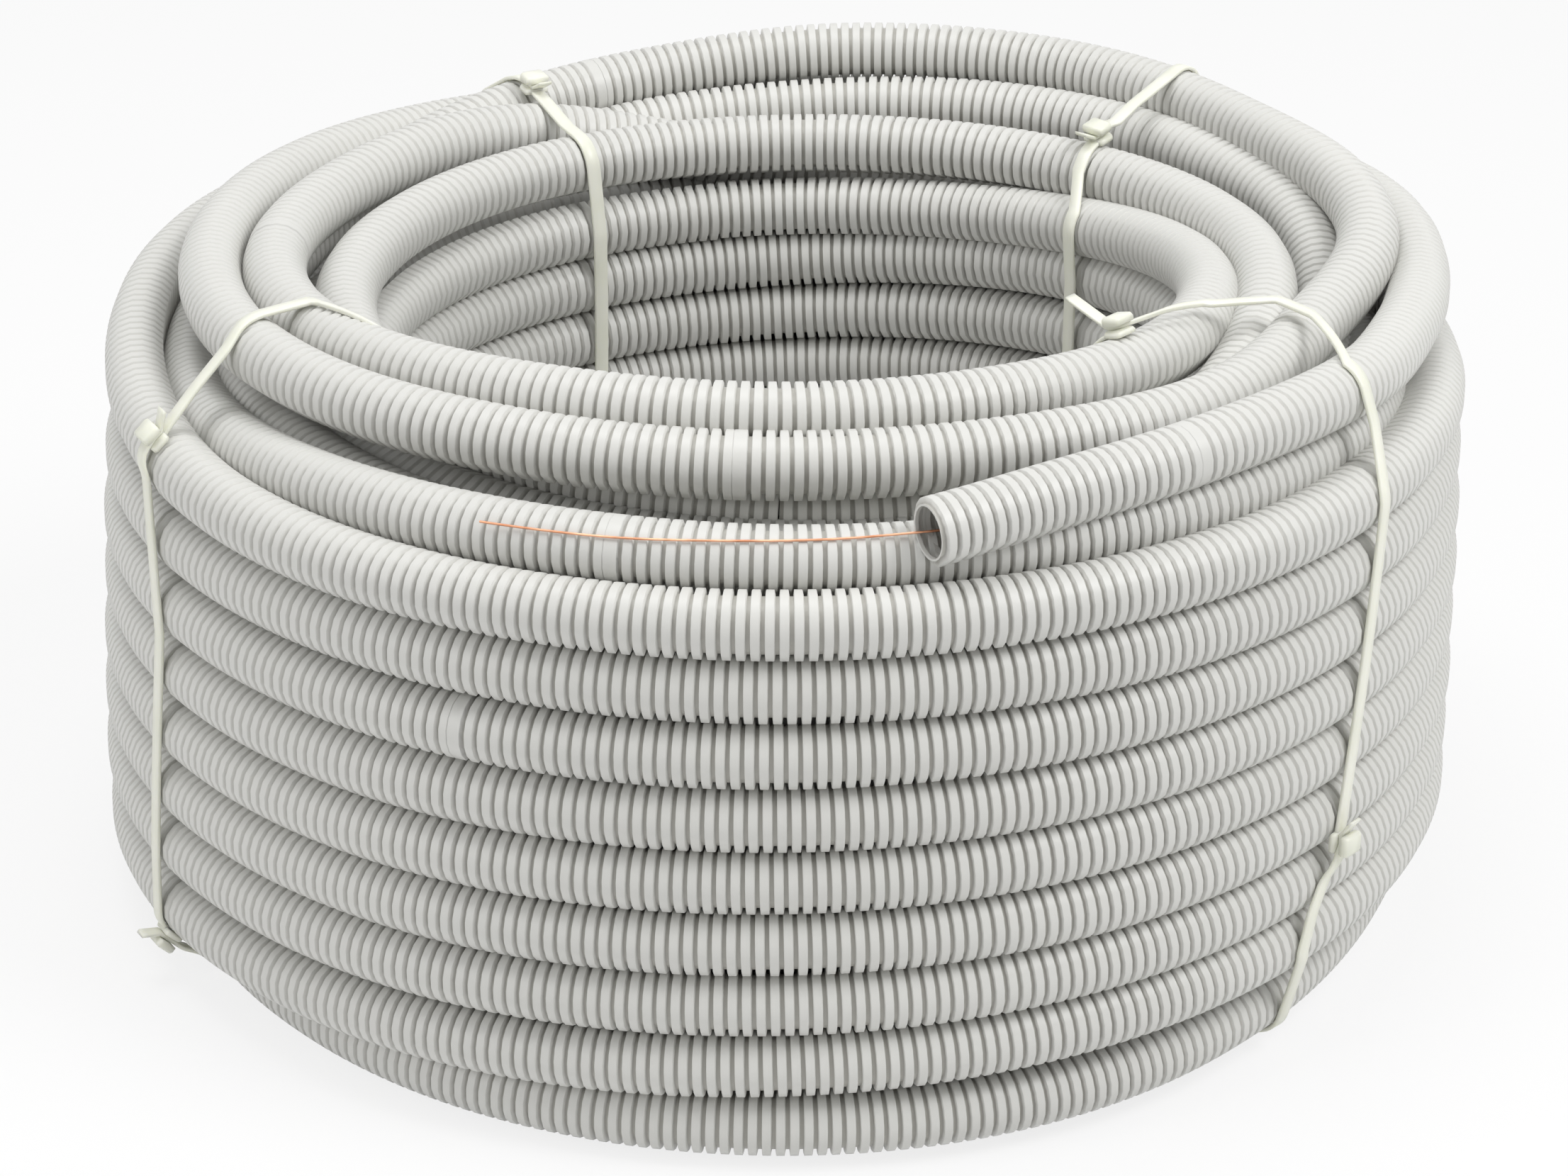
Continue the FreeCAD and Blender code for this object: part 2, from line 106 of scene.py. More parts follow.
# The turn that ends in the cut end, from its mouth backwards round the coil.
TAIL_TURN = (
    (-78.3, 10.00, 9.72), (-68, 9.55, 9.82), (-58, 9.40, 9.90), (-37, 9.45, 9.95),
    (-24, 9.55, 9.84), (-15, 9.60, 9.76), (-6, 9.76, 9.68), (4, 10.04, 9.60), (14, 10.38, 9.60),
    (27, 10.72, 9.55), (45, 10.70, 9.45), (65, 10.38, 9.38), (90, 10.02, 9.34), (121, 9.75, 9.42),
    (150, 9.33, 9.70), (180, 8.96, 9.79), (215, 8.49, 9.80),
    (240, 7.95, 9.78), (270, 7.60, 9.75), (300, 7.80, 9.80), (323, 8.12, 9.78),
    (348.5, 8.36, 9.82), (356, 8.70, 9.88), (362, 9.05, 9.98), (371, 9.44, 10.16),
    (380, 9.53, 10.33), (395, 9.56, 10.38), (406, 9.76, 10.40), (420, 9.98, 10.40),
    (435, 9.85, 10.39), (450, 9.58, 10.29), (460, 9.42, 10.12), (470, 9.25, 9.97),
    (481, 9.00, 9.83), (500, 8.65, 9.48), (520, 8.42, 9.10),
    (540, 8.38, 8.80), (600, 8.45, 8.50), (630, 8.42, 8.38), (665, 8.45, 8.42), (705, 8.38, 8.72),
    (722, 8.52, 9.00), (734, 8.82, 9.40), (744, 8.98, 9.66), (756, 9.02, 9.79), (774, 9.10, 9.81),
    (792, 8.96, 9.74), (810, 8.64, 9.60), (822, 8.55, 9.45), (835, 8.50, 9.20),
    (850, 8.42, 8.75), (870, 8.38, 8.35), (885, 8.35, 8.10),
)
# The inner top turn, which goes on as the wall of the bore, from the top down.
BORE_START = (
    (-660, 7.60, 8.00), (-630, 7.60, 8.25), (-560, 7.60, 8.40), (-460, 7.60, 8.42),
    (-360, 7.60, 8.42), (-310, 7.63, 8.60), (-275, 7.70, 8.85), (-256, 7.75, 9.20),
    (-239, 8.00, 9.70), (-210, 8.00, 9.85), (-180, 7.95, 9.85), (-147, 7.50, 9.95),
    (-120, 7.00, 10.1), (-90, 6.76, 10.15), (-60, 6.65, 10.1), (-37, 6.62, 9.95),
    (8, 6.62, 9.60), (45, 6.60, 9.00),
)
# The bore wall: its radius at the back, left, front and right, and its height at the back, turn
# by turn.
BORE_RADII = (6.60, 6.60, 6.75, 6.75)
BORE_BACK_HEIGHTS = (8.53, 7.63, 6.65, 5.68, 4.71, 3.74, 2.77, 1.80, 0.83)
# How far each of its turns rises at the right.
BORE_RIGHT_RISES = (0.72, 0.60, 0.48, 0.36, 0.24, 0.12, 0, 0)
BORE_END = ((190, 6.7, FLOOR_LEVEL), (270, 6.75, FLOOR_LEVEL), (440, 6.75, FLOOR_LEVEL))
THIRD_TURN = (
    (-90, 7.05, 8.80), (-60, 7.25, 8.90), (-37, 7.55, 9.25),
    (-15, 7.50, 9.65), (8, 7.53, 9.80), (45, 7.20, 9.75), (90, 6.80, 9.60),
    (121, 6.80, 9.50), (180, 6.83, 9.40), (215, 6.90, 9.25), (240, 6.90, 8.95),
    (270, 7.05, 8.80),
)
# Turns that hardly show, as rings: the radii on the floor, and the radii and levels further up.
FLOOR_ROWS = (7.55,)
HIDDEN_ROWS = (7.62, 8.50, 9.38)
HIDDEN_LEVELS = (1.60, 2.60, 3.60, 4.60, 5.60, 6.60, 7.55)
HIDDEN_GROOVE = 0.2
HIDDEN_RINGS = 73

# Where the conduit is divided: the wall's pieces start after the floor turns, at this azimuth,
# and have this many turns each. The last stretch of the wall shows its top.
WALL_PIECES_FROM = -190
TURNS_A_PIECE = 3
TOP_STRETCH = 0.8
BORE_SPLITS = (-300, 100, 100 + 360 * 4)

# Azimuths where a rib is left out for a smooth band, on each run.
TAIL_BANDS = (-53.0, 266, 471.4)
BORE_BANDS = (-183,)
WALL_BANDS = (2045, 3136)


def natural_spline(x, y):
    """A function that follows the knots with a continuous curvature."""
    x, y = np.asarray(x, float), np.asarray(y, float)
    n = len(x)
    h = np.diff(x)
    slope = np.diff(y) / h
    system = np.eye(n)
    right = np.zeros(n)
    for i in range(1, n - 1):
        system[i, i - 1:i + 2] = h[i - 1], 2 * (h[i - 1] + h[i]), h[i]
        right[i] = 6 * (slope[i] - slope[i - 1])
    bend = np.linalg.solve(system, right)

    def value(t):
        i = np.clip(np.searchsorted(x, t) - 1, 0, n - 2)
        a, b = x[i + 1] - t, t - x[i]
        return (bend[i] * a ** 3 + bend[i + 1] * b ** 3) / (6 * h[i]) \
            + (y[i] / h[i] - bend[i] * h[i] / 6) * a + (y[i + 1] / h[i] - bend[i + 1] * h[i] / 6) * b

    return value


class Run:
    """A stretch of the conduit's centre line, in metres."""

    def __init__(self, knots):
        azimuths, radii, heights = np.array(knots, float).T
        self.first, self.last = azimuths[0], azimuths[-1]
        self.radius = natural_spline(azimuths, radii * TUBE)
        rise = natural_spline(azimuths, heights * TUBE)
        self.height = lambda a: np.maximum(rise(a), FLOOR_LEVEL * TUBE)
        fine = np.linspace(self.first, self.last, int(self.last - self.first) * 2 + 1)
        steps = np.linalg.norm(np.diff(self.points(fine), axis=0), axis=1)
        self.fine, self.travel = fine, np.concatenate([[0], np.cumsum(steps)])
        self.length = self.travel[-1]
        self.ribs = round(self.length / RIB_PITCH)
        self.pitch = self.length / self.ribs

    def points(self, azimuths):
        a = np.radians(azimuths)
        r = self.radius(azimuths)
        return np.c_[r * np.cos(a), r * np.sin(a), self.height(azimuths)]

    def azimuth_at(self, travel):
        return np.interp(travel, self.travel, self.fine)

    def travel_at(self, azimuth):
        return np.interp(azimuth, self.fine, self.travel)

    def frames(self, travel):
        """Centre, outward and upward vectors at each distance along the run."""
        azimuths = self.azimuth_at(travel)
        centre = self.points(azimuths)
        step = 0.05
        along = self.points(azimuths + step) - self.points(azimuths - step)
        along /= np.linalg.norm(along, axis=1)[:, None]
        up = np.array([0, 0, 1.0]) - along[:, 2:3] * along
        up /= np.linalg.norm(up, axis=1)[:, None]
        return centre, np.cross(along, up), up, along


def wall_knots():
    """The wall's knots; at the back a turn is half way up to where the next one begins."""
    knots = list(WALL_START)
    for turn, (radius, shift, height, rise) in enumerate(WALL_TURNS, 1):
        for azimuth in WALL_KNOT_AZIMUTHS:
            lean = math.cos(math.radians(azimuth))
            knots.append((azimuth + 360 * turn, radius + shift * lean, height + rise * lean))
        knots.append((90 + 360 * turn, WALL_BACK_RADIUS, None))
    end = 360 * (len(WALL_TURNS) + 1)
    knots += [(azimuth + end, radius, height) for azimuth, radius, height in WALL_END]
    for i, (azimuth, radius, height) in enumerate(knots):
        if height is None:
            knots[i] = (azimuth, radius, (knots[i - 1][2] + knots[i + 1][2]) / 2)
    return knots


def bore_knots():
    """The bore wall's knots: each turn falls to the height that the next one has at the back."""
    knots = list(BORE_START)
    turns = zip(BORE_BACK_HEIGHTS, BORE_BACK_HEIGHTS[1:], BORE_RIGHT_RISES)
    for turn, (back, following, right_rise) in enumerate(turns):
        base = 90 + 360 * turn
        knots.append((base, BORE_RADII[0], back))
        for quarter in (1, 2, 3):
            drop = (back - following) * quarter / 4
            rise = right_rise if quarter == 3 else 0
            knots.append((base + 90 * quarter, BORE_RADII[quarter], back - drop + rise))
    last = 360 * (len(BORE_BACK_HEIGHTS) - 1)
    knots.append((90 + last, BORE_RADII[0], BORE_BACK_HEIGHTS[-1]))
    return knots + [(last + a, r, z) for a, r, z in BORE_END]


def ring_knots(radius, level):
    """A level turn that closes on itself."""
    return [(a, radius, level) for a in range(-180, 181, 45)]


def section_angles(face, half, count, rest):
    """Angles round a tube: close together on the side that shows, few on the other."""
    shown = np.linspace(face - half, face + half, count)
    hidden = np.linspace(face + half, face - half + 360, rest + 2)[1:-1]
    return np.radians(np.concatenate([shown, hidden]))


def rib_rings(run, bands=()):
    """The rings of a run's ribs: travel, share of the groove's depth, lean."""
    band_places = [run.travel_at(b) for b in bands]
    rings = []
    for k in range(run.ribs):
        start = k * run.pitch
        groove = start + GROOVE_MIDDLE * run.pitch
        smooth = any(abs(groove - b) < run.pitch / 2 for b in band_places)
        for share, depth, lean in RIB_RINGS:
            travel = start + share * run.pitch
            rings.append((travel, 0.0, 0) if smooth else (travel, depth, lean))
    rings.append((run.length, 1.0, 0))
    return np.array(rings)


def grid_faces(rings, around):
    """Quads between rings of vertices."""
    i = np.arange(rings - 1)[:, None]
    j = np.arange(around)[None, :]
    k = (j + 1) % around
    return np.stack([i * around + j, i * around + k, (i + 1) * around + k, (i + 1) * around + j],
                    axis=-1).reshape(-1, 4)


def make_mesh(name, parts):
    """One object from parts of vertices, quads, groove depth and, for tubes, normals. The groove depth
    also sets the painted shade in the grooves.
    """
    vertices = np.concatenate([p[0] for p in parts])
    offsets = np.cumsum([0] + [len(p[0]) for p in parts])[:-1]
    quads = np.concatenate([p[1] + o for p, o in zip(parts, offsets)])
    depth = np.concatenate([p[2] for p in parts]).astype(np.float32)
    normals = [p[3] for p in parts if len(p) > 3]
    mesh = bpy.data.meshes.new(name)
    mesh.vertices.add(len(vertices))
    mesh.vertices.foreach_set("co", vertices.astype(np.float32).ravel())
    mesh.loops.add(quads.size)
    mesh.loops.foreach_set("vertex_index", quads.astype(np.int32).ravel())
    mesh.polygons.add(len(quads))
    mesh.polygons.foreach_set("loop_start", np.arange(0, quads.size, 4, dtype=np.int32))
    mesh.polygons.foreach_set("loop_total", np.full(len(quads), 4, np.int32))
    mesh.polygons.foreach_set("use_smooth", np.ones(len(quads), bool))
    mesh.update(calc_edges=True)
    # The groove depth, which the conduit material turns into painted shade.
    layer = mesh.attributes.new("groove", "FLOAT", "POINT")
    layer.data.foreach_set("value", depth)
    if len(normals) == len(parts):
        mesh.normals_split_custom_set_from_vertices(np.concatenate(normals))
    made = bpy.data.objects.new(name, mesh)
    bpy.context.scene.collection.objects.link(made)
    return made


def spokes(run, travel, angles):
    """Centres and directions along a run, and unit vectors from each centre at the angles."""
    centre, out, up, along = run.frames(travel)
    across = np.cos(angles)[None, :, None] * out[:, None, :]
    return centre, along, across + np.sin(angles)[None, :, None] * up[:, None, :]


def tube_part(run, angles, rings):
    """A tube along a run, from its rings of (travel, groove depth, lean)."""
    travel, depth, lean = rings.T
    centre, along, ring = spokes(run, travel, angles)
    radius = TUBE_RADIUS - GROOVE_DEPTH * depth
    vertices = centre[:, None, :] + radius[:, None, None] * ring
    faces = grid_faces(len(travel), len(angles))[:, ::-1]
    tilt = np.radians(lean)[:, None, None]
    normals = np.cos(tilt) * ring + np.sin(tilt) * along[:, None, :]
    return vertices.reshape(-1, 3), faces, np.repeat(depth, len(angles)), normals.reshape(-1, 3)


def ribbed_tube(name, run, face, bands=(), half=100, count=10, rest=2, first=0.0, last=None):
    """A piece of a run between two distances, and on to the first ring of the next rib."""
    rings = rib_rings(run, bands)
    last = run.length if last is None else last
    keep = (rings[:, 0] >= first) & (rings[:, 0] <= last + 0.06 * run.pitch)
    return make_mesh(name, [tube_part(run, section_angles(face, half, count, rest), rings[keep])])


def principled(name):
    """A new material, its shader and its node tree."""
    material = bpy.data.materials.new(name)
    material.use_nodes = True
    return material, material.node_tree.nodes["Principled BSDF"], material.node_tree


def add_node(tree, kind, **inputs):
    """A node with these values in its sockets."""
    made = tree.nodes.new(kind)
    for key, value in inputs.items():
        made.inputs[key.replace("_", " ")].default_value = value
    return made


def conduit_material():
    material, shader, tree = principled("conduit_plastic")
    link = tree.links.new
    where = tree.nodes.new("ShaderNodeTexCoord").outputs["Object"]
    groove = tree.nodes.new("ShaderNodeAttribute")
    groove.attribute_name = "groove"
    # The colour runs from A on the crests to a darker B in the grooves by the groove attribute: painted
    # shade in the grooves, and inside the cut end.
    painted_shade = tree.nodes.new("ShaderNodeMix")
    painted_shade.data_type = "RGBA"
    painted_shade.inputs["A"].default_value = (0.655, 0.653, 0.625, 1)
    painted_shade.inputs["B"].default_value = (0.540, 0.530, 0.490, 1)
    link(groove.outputs["Fac"], painted_shade.inputs["Factor"])
    clouds = add_node(tree, "ShaderNodeTexNoise", Scale=9.0, Detail=3.0, Roughness=0.55)
    link(where, clouds.inputs["Vector"])
    spread = add_node(tree, "ShaderNodeMapRange")
    spread.inputs["To Min"].default_value = 0.93
    spread.inputs["To Max"].default_value = 1.06
    link(clouds.outputs["Fac"], spread.inputs["Value"])
    shade = tree.nodes.new("ShaderNodeMix")
    shade.data_type = "RGBA"
    shade.blend_type = "MULTIPLY"
    shade.inputs["Factor"].default_value = 1.0
    link(painted_shade.outputs["Result"], shade.inputs["A"])
    link(spread.outputs["Result"], shade.inputs["B"])
    link(shade.outputs["Result"], shader.inputs["Base Color"])
    grain = add_node(tree, "ShaderNodeTexNoise", Scale=900.0, Detail=2.0)
    link(where, grain.inputs["Vector"])
    bump = add_node(tree, "ShaderNodeBump", Strength=0.12, Distance=0.0002)
    link(grain.outputs["Fac"], bump.inputs["Height"])
    link(bump.outputs["Normal"], shader.inputs["Normal"])
    shader.inputs["Roughness"].default_value = 0.42
    shader.inputs["Specular IOR Level"].default_value = 0.45
    return material


def mottle(tree, shader, scale, low, high):
    """A base colour that wanders between two (place on the ramp, colour) pairs."""
    link = tree.links.new
    where = tree.nodes.new("ShaderNodeTexCoord").outputs["Object"]
    noise = add_node(tree, "ShaderNodeTexNoise", Scale=scale, Detail=2.0)
    link(where, noise.inputs["Vector"])
    ramp = tree.nodes.new("ShaderNodeValToRGB")
    for i, (position, colour) in enumerate((low, high)):
        ramp.color_ramp.elements[i].position = position
        ramp.color_ramp.elements[i].color = colour
    link(noise.outputs["Fac"], ramp.inputs["Fac"])
    link(ramp.outputs["Color"], shader.inputs["Base Color"])


def tie_material():
    material, shader, tree = principled("tie_nylon")
    mottle(tree, shader, 60.0, (0.3, (0.78, 0.79, 0.68, 1)), (0.7, (0.85, 0.85, 0.76, 1)))
    shader.inputs["Roughness"].default_value = 0.35
    shader.inputs["Subsurface Weight"].default_value = 0.25
    shader.inputs["Subsurface Radius"].default_value = (0.003, 0.003, 0.0022)
    shader.inputs["Subsurface Scale"].default_value = 0.6
    return material


def wire_material():
    material, shader, tree = principled("copper_wire")
    mottle(tree, shader, 140.0, (0.35, (0.55, 0.24, 0.13, 1)), (0.65, (0.86, 0.47, 0.30, 1)))
    shader.inputs["Metallic"].default_value = 0.8
    shader.inputs["Roughness"].default_value = 0.35
    return material


def finish_piece(made, material, slot, *nodes):
    made.data.materials.append(material)
    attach(made, "root")
    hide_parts(*nodes)
    return made


def conduit_mouth(run):
    """The cut end's rim and the ribbed bore behind it."""
    angles = np.radians(np.arange(0, 360, 15.0))
    start = RIB_RINGS[0][0] * RIB_PITCH
    rim = TUBE_RADIUS - GROOVE_DEPTH
    # The bore behind the rim is painted 0.4 of the way to the groove colour: painted shade inside the
    # cut end.
    bore_painted_shade = 0.4
    rings = [(start, rim, 0.0), (start, rim - WALL, 0.0)]
    for k in range(int(BORE_SEEN / RIB_PITCH)):
        for share, depth, _ in RIB_RINGS:
            radius = TUBE_RADIUS - GROOVE_DEPTH * depth - WALL
            rings.append((start + (k + share) * RIB_PITCH, radius, bore_painted_shade))
    travel, radii, painted_shade = np.array(rings).T
    centre, along, ring = spokes(run, travel, angles)
    vertices = centre[:, None, :] + radii[:, None, None] * ring
    faces = grid_faces(len(travel), len(angles))
    normals = -ring.copy()
    normals[:2] = -along[:2, None, :]
    return vertices.reshape(-1, 3), faces, np.repeat(painted_shade, len(angles)), normals.reshape(-1, 3)


def whole_ribs(run, azimuth):
    """The distance to an azimuth, in whole ribs, or the run's length if that comes first."""
    if azimuth >= run.last:
        return run.length
    return round(float(run.travel_at(azimuth)) / run.pitch) * run.pitch


def build_conduit(plastic):
    """The conduit's pieces; gives back the runs that the ties go round."""
    wall, tail, bore, third = Run(wall_knots()), Run(TAIL_TURN), Run(bore_knots()), Run(THIRD_TURN)
    start, piece = whole_ribs(wall, WALL_PIECES_FROM), 1
    made = [ribbed_tube("conduit_floor_turns", wall, -90, half=80, count=6, last=start)]
    while start < wall.length - wall.pitch:
        end = whole_ribs(wall, float(wall.azimuth_at(start)) + 360 * TURNS_A_PIECE)
        face = 45 if wall.length - end < TOP_STRETCH else 0
        made.append(ribbed_tube("conduit_wall_%d" % piece, wall, face, WALL_BANDS, rest=1,
                                first=start, last=end))
        start, piece = end, piece + 1
    top = tube_part(tail, section_angles(90, 120, 13, 2), rib_rings(tail, TAIL_BANDS))
    made.append(make_mesh("conduit_top_and_tail", [top, conduit_mouth(tail)]))
    under_end, top_end, middle = (whole_ribs(bore, azimuth) for azimuth in BORE_SPLITS)
    made.append(ribbed_tube("conduit_under_inner_top", bore, 110, count=6, rest=1, last=under_end))
    made.append(ribbed_tube("conduit_inner_top", bore, 110, BORE_BANDS, half=120, count=13,
                            first=under_end, last=top_end))
    made.append(ribbed_tube("conduit_bore_wall_1", bore, 180, half=90, count=7, rest=1,
                            first=top_end, last=middle))
    made.append(ribbed_tube("conduit_bore_wall_2", bore, 180, half=90, count=7, rest=1, first=middle))
    made.append(ribbed_tube("conduit_third_top", third, 110, half=110, count=11))
    floor_rows = [Run(ring_knots(radius, FLOOR_LEVEL)) for radius in FLOOR_ROWS]
    under = section_angles(-90, 80, 5, 2)
    rows = [tube_part(run, under, rib_rings(run)) for run in floor_rows]
    made.append(make_mesh("conduit_floor_rows", rows))
    hidden = []
    for radius in HIDDEN_ROWS:
        for level in HIDDEN_LEVELS:
            run = Run(ring_knots(radius, level))
            travel = np.linspace(0, run.length, HIDDEN_RINGS)
            rings = np.c_[travel, np.full(HIDDEN_RINGS, HIDDEN_GROOVE), np.zeros(HIDDEN_RINGS)]
            hidden.append(tube_part(run, section_angles(0, 135, 7, 1), rings))
    made.append(make_mesh("conduit_middle_rows", hidden))
    for one in made:
        finish_piece(one, plastic, "conduit", "conduit")
    return wall, tail, bore, third


def convex_hull(points):
    """Corners of the hull, anticlockwise, in the plane (radius, height)."""
    ordered = sorted(set((round(x, 6), round(y, 6)) for x, y in points))

    def half(sequence):
        kept = []
        for p in sequence:
            while len(kept) > 1:
                (ax, ay), (bx, by) = kept[-2], kept[-1]
                if (bx - ax) * (p[1] - ay) - (by - ay) * (p[0] - ax) > 1e-12:
                    break
                kept.pop()
            kept.append(p)
        return kept[:-1]

    return half(ordered) + half(ordered[::-1])


class Belt:
    """The closed line that a strap follows round the turns at one azimuth."""

    def __init__(self, centres, spots):
        corners = [np.array(c) for c in convex_hull(centres)]
        offset = TUBE_RADIUS + STRAP_GAP
        start = max(range(len(corners)), key=lambda i: corners[i][0] - corners[i][1])
        corners = corners[start:] + corners[:start]
        points, normals = [], []
        arc_steps = 6
        for i, corner in enumerate(corners):
            before = corner - corners[i - 1]
            after = corners[(i + 1) % len(corners)] - corner
            a0 = math.atan2(-before[0], before[1])
            a1 = math.atan2(-after[0], after[1])
            turn = (a1 - a0) % (2 * math.pi)
            for k in range(arc_steps + 1):
                angle = a0 + turn * k / arc_steps
                n = np.array([math.cos(angle), math.sin(angle)])
                points.append(corner + n * offset)
                normals.append(n)
        points.append(points[0])
        normals.append(normals[0])
        self.points, self.normals = np.array(points), np.array(normals)
        steps = np.linalg.norm(np.diff(self.points, axis=0), axis=1)
        self.travel = np.concatenate([[0], np.cumsum(steps)])
        self.length = self.travel[-1]
        places = sorted((self.nearest(r * TUBE, z * TUBE), azimuth) for azimuth, r, z in spots)
        first, last = places[0], places[-1]
        places = [(last[0] - self.length, last[1]), *places, (first[0] + self.length, first[1])]
        self.spot_travel, self.spot_azimuth = np.array(places).T

    def at(self, travel):
        t = np.asarray(travel) % self.length
        point = np.c_[np.interp(t, self.travel, self.points[:, 0]),
                      np.interp(t, self.travel, self.points[:, 1])]
        normal = np.c_[np.interp(t, self.travel, self.normals[:, 0]),
                       np.interp(t, self.travel, self.normals[:, 1])]
        return point, normal / np.linalg.norm(normal, axis=1)[:, None]

    def nearest(self, radius, height):
        fine = np.linspace(0, self.length, 4000)
        point, _ = self.at(fine)
        return float(fine[np.argmin(np.hypot(point[:, 0] - radius, point[:, 1] - height))])

    def azimuth_at(self, travel):
        return np.interp(np.asarray(travel) % self.length, self.spot_travel, self.spot_azimuth)

    def stand(self, travel, point, across=0.0):
        """Points of the half plane as places in the scene, moved sideways by across."""
        point = np.atleast_2d(point)
        a = np.radians(self.azimuth_at(travel))
        a = np.broadcast_to(a, len(point))
        side = np.c_[-np.sin(a), np.cos(a)]
        return np.c_[point[:, 0] * np.cos(a) + side[:, 0] * across,
                     point[:, 0] * np.sin(a) + side[:, 1] * across, point[:, 1]]


def closed_sweep(columns, caps):
    """Vertices, faces and groove depth of a swept section; quads in caps close its two ends."""
    rings, around, _ = columns.shape
    last = (rings - 1) * around
    ends = list(caps) + [tuple(last + i for i in cap[::-1]) for cap in caps]
    faces = np.concatenate([grid_faces(rings, around)[:, ::-1], np.array(ends)])
    return columns.reshape(-1, 3), faces, np.zeros(rings * around)


def strap_part(belt, first, last, stub, lift):
    """A flat strap from one place on the belt to another; lift gives its height there.

    From the middle of the far head on it leaves the belt: straight through the head, then up.
    """
    span = (last - first) % belt.length
    along_strap = np.linspace(0, span, max(8, int(span / 0.0015)))
    head = span - stub - HEAD_LENGTH / 2
    travel = first + np.minimum(along_strap, head)
    point, normal = belt.at(travel)
    forward = np.c_[-normal[:, 1], normal[:, 0]]
    past_head = np.maximum(along_strap - head, 0)
    free = np.maximum(along_strap - head - HEAD_LENGTH / 2, 0)
    point = point + forward * (past_head - free * (1 - math.cos(STUB_LIFT)))[:, None]
    height = lift(along_strap) + free * math.sin(STUB_LIFT)
    half, edge = STRAP_WIDTH / 2, STRAP_EDGE
    section = ((-half, edge), (-half + edge, 0), (half - edge, 0), (half, edge),
               (half, STRAP_THICKNESS - edge), (half - edge, STRAP_THICKNESS),
               (-half + edge, STRAP_THICKNESS), (-half, STRAP_THICKNESS - edge))
    columns = [belt.stand(travel, point + normal * (height + up)[:, None], across)
               for across, up in section]
    return closed_sweep(np.stack(columns, axis=1), ((1, 2, 5, 6), (0, 1, 6, 7), (2, 3, 4, 5)))


def block_part(belt, travel, bottom, top):
    """A box of the head's length and width on the belt, with its edges taken off."""
    point, normal = belt.at([travel])
    n = normal[0]
    along = np.array([-n[1], n[0]])
    cut, width, half_length = HEAD_EDGE, HEAD_WIDTH, HEAD_LENGTH / 2
    middle = (bottom + top) / 2
    outline = ((-width / 2, bottom), (width / 2, bottom), (width / 2, top - cut),
               (width / 2 - cut, top), (-width / 2 + cut, top), (-width / 2, top - cut))
    columns = []
    for shift, shrink in ((-half_length, 0.85), (-half_length + cut, 1.0),
                          (half_length - cut, 1.0), (half_length, 0.85)):
        places = [point[0] + along * shift + n * (middle + (up - middle) * shrink) for _, up in outline]
        columns.append([belt.stand(travel, place, across * shrink)[0]
                        for place, (across, _) in zip(places, outline)])
    return closed_sweep(np.array(columns), ((0, 1, 2, 3), (0, 3, 4, 5)))


def head_parts(belt, travel):
    """The locking head: a floor and a roof, with the slot that the strap goes through between."""
    slot_top = SLOT_FLOOR + STRAP_THICKNESS + SLOT_CLEARANCE
    return [block_part(belt, travel, 0.0, SLOT_FLOOR - 0.0001),
            block_part(belt, travel, slot_top, HEAD_HEIGHT)]


def tail_lift(foot):
    """The strap's height along its travel: flat, up the ramp, then level through the head."""

    def lift(s):
        share = np.clip((s - foot) / (RAMP_LENGTH - STRAP_THICKNESS), 0, 1)
        return SLOT_FLOOR * share * share * (3 - 2 * share)

    return lift


def make_tie(name, belt, head_at, far_at, stub, nylon):
    """A tie from its own head round the belt and through the far head."""
    half = HEAD_LENGTH / 2
    first = head_at + half - STRAP_THICKNESS
    last = far_at + half + stub
    span = (last - first) % belt.length
    lift = tail_lift(span - (stub + HEAD_LENGTH + RAMP_LENGTH))
    made = make_mesh(name, [strap_part(belt, first, last, stub, lift)] + head_parts(belt, head_at))
    finish_piece(made, nylon, "tie", name)


# Each loop of two ties: the azimuths it passes, with the radius and height there in tube
# diameters, and for each tie its name, its head's radius and height, and whether the strap
# through that head ends long.
LOOPS = {
    "front_left": (
        ((-150.5, 10.75, 1.0), (-148.5, 10.72, 6.0), (-151.5, 10.36, 8.8), (-152.5, 9.71, 9.42),
         (-153, 9.17, 9.94), (-155, 8.57, 10.32), (-155, 7.75, 10.42), (-150, 7.5, 10.46),
         (-145, 7.2, 10.48), (-143, 6.4, 10.0), (-143, 6.1, 1.0)),
        (("upper", 10.36, 8.79, False), ("lower", 10.6, 0.9, False)),
    ),
    "front_right": (
        ((-42.5, 10.4, 0.6), (-43.5, 10.81, 2.0), (-42.5, 10.81, 2.6), (-39.5, 10.8, 3.6),
         (-34.5, 10.61, 8.76), (-32.5, 10.21, 9.66), (-31.5, 9.63, 10.43), (-22, 8.51, 10.37),
         (-19.5, 7.86, 10.36), (-22, 7.4, 10.37), (-25, 6.96, 10.39), (-32, 6.64, 10.43),
         (-40, 6.49, 10.47), (-42, 6.1, 9.5), (-42, 6.1, 1.0)),
        (("inner", 6.49, 10.47, True), ("outer", 10.8, 3.59, False)),
    ),
    "back_left": (
        ((121, 10.8, 1.0), (121, 10.8, 8.0), (121, 8.79, 10.48), (120.5, 8.5, 10.43),
         (121.5, 7.1, 10.09), (121, 6.3, 9.6), (120.8, 6.1, 7.0), (120.8, 6.1, 1.0)),
        (("upper", 8.52, 10.43, False), ("lower", 10.8, 5.0, False)),
    ),
    "back_right": (
        ((49, 10.8, 1.0), (49, 10.8, 8.0), (47, 9.5, 10.58), (46.5, 8.48, 10.49),
         (45, 7.34, 10.29), (43.5, 6.7, 9.94), (40, 6.23, 9.44), (38.7, 6.1, 8.3), (38.5, 6.1, 1.0)),
        (("upper", 7.34, 10.29, False), ("lower", 10.8, 5.0, False)),
    ),
}


